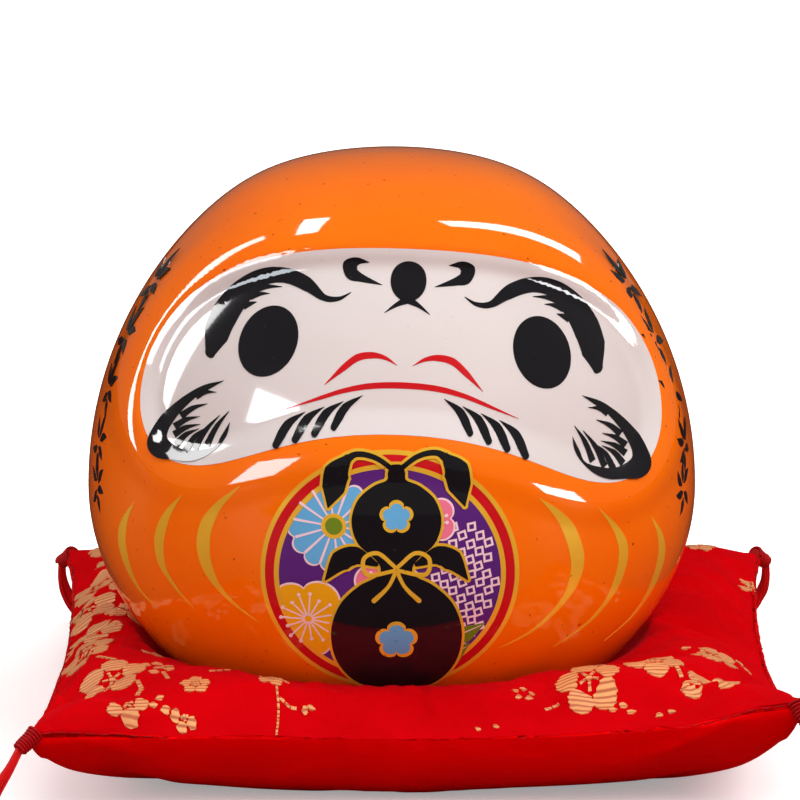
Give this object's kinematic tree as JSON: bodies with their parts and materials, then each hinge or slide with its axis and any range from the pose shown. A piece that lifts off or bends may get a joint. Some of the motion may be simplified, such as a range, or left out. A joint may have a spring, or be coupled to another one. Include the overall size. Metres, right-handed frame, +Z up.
{
  "type": "daruma doll",
  "caption": "Round glazed good-luck doll with a sunken painted face, coin slot and stopper, resting on a padded square cushion with tasselled corners.",
  "frame": {"origin": "on the table, under the middle of the cushion", "axes": "+Z up; the doll's face looks along -Y; +X is to the right of somebody who faces the doll"},
  "size_m": [0.1872, 0.17, 0.1193],
  "materials": {
    "glaze_orange": "gloss",
    "enamel_white": "gloss",
    "enamel_black": "gloss",
    "enamel_red": "gloss",
    "enamel_purple": "gloss",
    "enamel_blue": "gloss",
    "enamel_yellow": "gloss",
    "enamel_pink": "gloss",
    "enamel_green": "gloss",
    "gold_lustre": "satin",
    "stopper_rubber": "matte",
    "brocade_red": "satin",
    "brocade_gold": "satin",
    "satin_red": "satin",
    "wadding": "matte",
    "tie_thread": "satin",
    "floss_red": "satin"
  },
  "bodies": {
    "cushion": {"cushion_top": "brocade_red", "cushion_base": "satin_red", "cushion_filling": "wadding", "tassel_tie_front_left": "tie_thread", "tassel_tie_front_right": "tie_thread", "tassel_tie_back_left": "tie_thread", "tassel_tie_back_right": "tie_thread", "tassel_floss_front_left": "floss_red", "tassel_floss_front_right": "floss_red", "tassel_floss_back_left": "floss_red", "tassel_floss_back_right": "floss_red"},
    "doll": {"doll_shell": "glaze_orange"},
    "stopper": {"base_stopper": "stopper_rubber"}
  },
  "joints": [
    {"name": "doll_lift", "type": "slide", "parent": "cushion", "child": "doll", "axis": [0, 0, 1], "range_m": [0, 0.06]},
    {"name": "stopper_pull", "type": "slide", "parent": "doll", "child": "stopper", "axis": [0, 0, -1], "range_m": [0, 0.018]}
  ],
  "couplings": [
    {"joint": "stopper_pull", "follows": "doll_lift", "ratio": 0.3}
  ]
}
